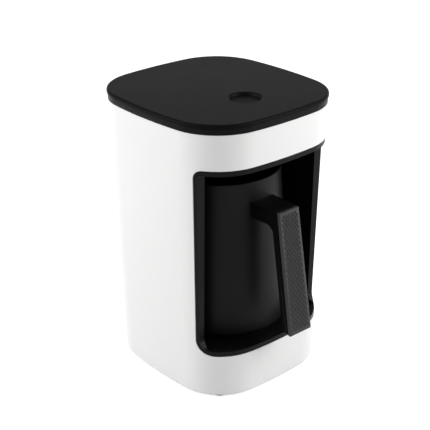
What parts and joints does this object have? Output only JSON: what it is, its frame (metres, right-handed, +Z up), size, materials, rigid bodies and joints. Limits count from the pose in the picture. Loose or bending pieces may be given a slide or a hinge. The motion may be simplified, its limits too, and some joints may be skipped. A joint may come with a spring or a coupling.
{
  "type": "electric turkish coffee maker",
  "caption": "Countertop coffee maker: tapered bulged-square casing with a niche wrapping its front corners, a start button on top and a tapered pot with a slanted grip that slides out.",
  "frame": {"origin": "middle of the whole footprint, handle included, on the standing plane", "axes": "+Z up, the niche and the handle face -Y, +X to the right seen from the front"},
  "size_m": [0.1616, 0.1954, 0.2573],
  "materials": {
    "casing_white": "satin white moulding",
    "black_satin": "fine satin",
    "cover_black": "satin",
    "button_black": "fine matt",
    "grip_black": "diamond knurl",
    "pot_coating": "black satin coating",
    "rubber": "matt",
    "steel": "plain",
    "aluminium": "plain",
    "brass": "plain",
    "board_green": "lacquered",
    "part_black": "plain",
    "part_white": "plain",
    "lead_grey": "plain",
    "window_smoke": "smoked"
  },
  "bodies": {
    "housing": {"outer_casing": "casing_white", "niche_liner": "black_satin", "top_collar": "black_satin", "top_cover": "cover_black", "button_spring": "steel", "base_plate": "black_satin", "rubber_feet": "rubber", "base_screws": "steel", "collar_screws": "steel", "board_screws": "steel", "control_board": "board_green", "tact_switch": "part_black", "buzzer": "part_black", "board_connector": "part_white", "sensor_window": "window_smoke", "foam_sensor": "part_black", "dock_plug": "part_black", "dock_pins": "brass", "power_board": "board_green", "power_relay": "part_black", "filter_capacitor": "aluminium", "terminal_block": "part_white", "cord_gland": "rubber", "dock_leads": "lead_grey", "link_lead": "lead_grey"},
    "button": {"start_button": "button_black"},
    "pot": {"pot_body": "pot_coating", "pot_base_cover": "black_satin", "pot_base_screws": "steel", "heater_plate": "aluminium", "heating_element": "steel", "temperature_probe": "brass", "thermal_fuse": "part_white", "pot_socket": "part_black", "socket_contacts": "brass", "handle_core": "black_satin", "handle_grip": "grip_black", "handle_screws": "steel", "handle_bracket": "steel"}
  },
  "joints": [
    {"name": "button_press", "type": "slide", "parent": "housing", "child": "button", "axis": [0, 0, -1], "range_m": [0, 0.0012], "stiffness_N_per_m": 400, "springref_m": -0.002, "deforming": ["button_spring"]},
    {"name": "pot_slide", "type": "slide", "parent": "housing", "child": "pot", "axis": [0, -1, 0], "range_m": [0, 0.2]}
  ]
}
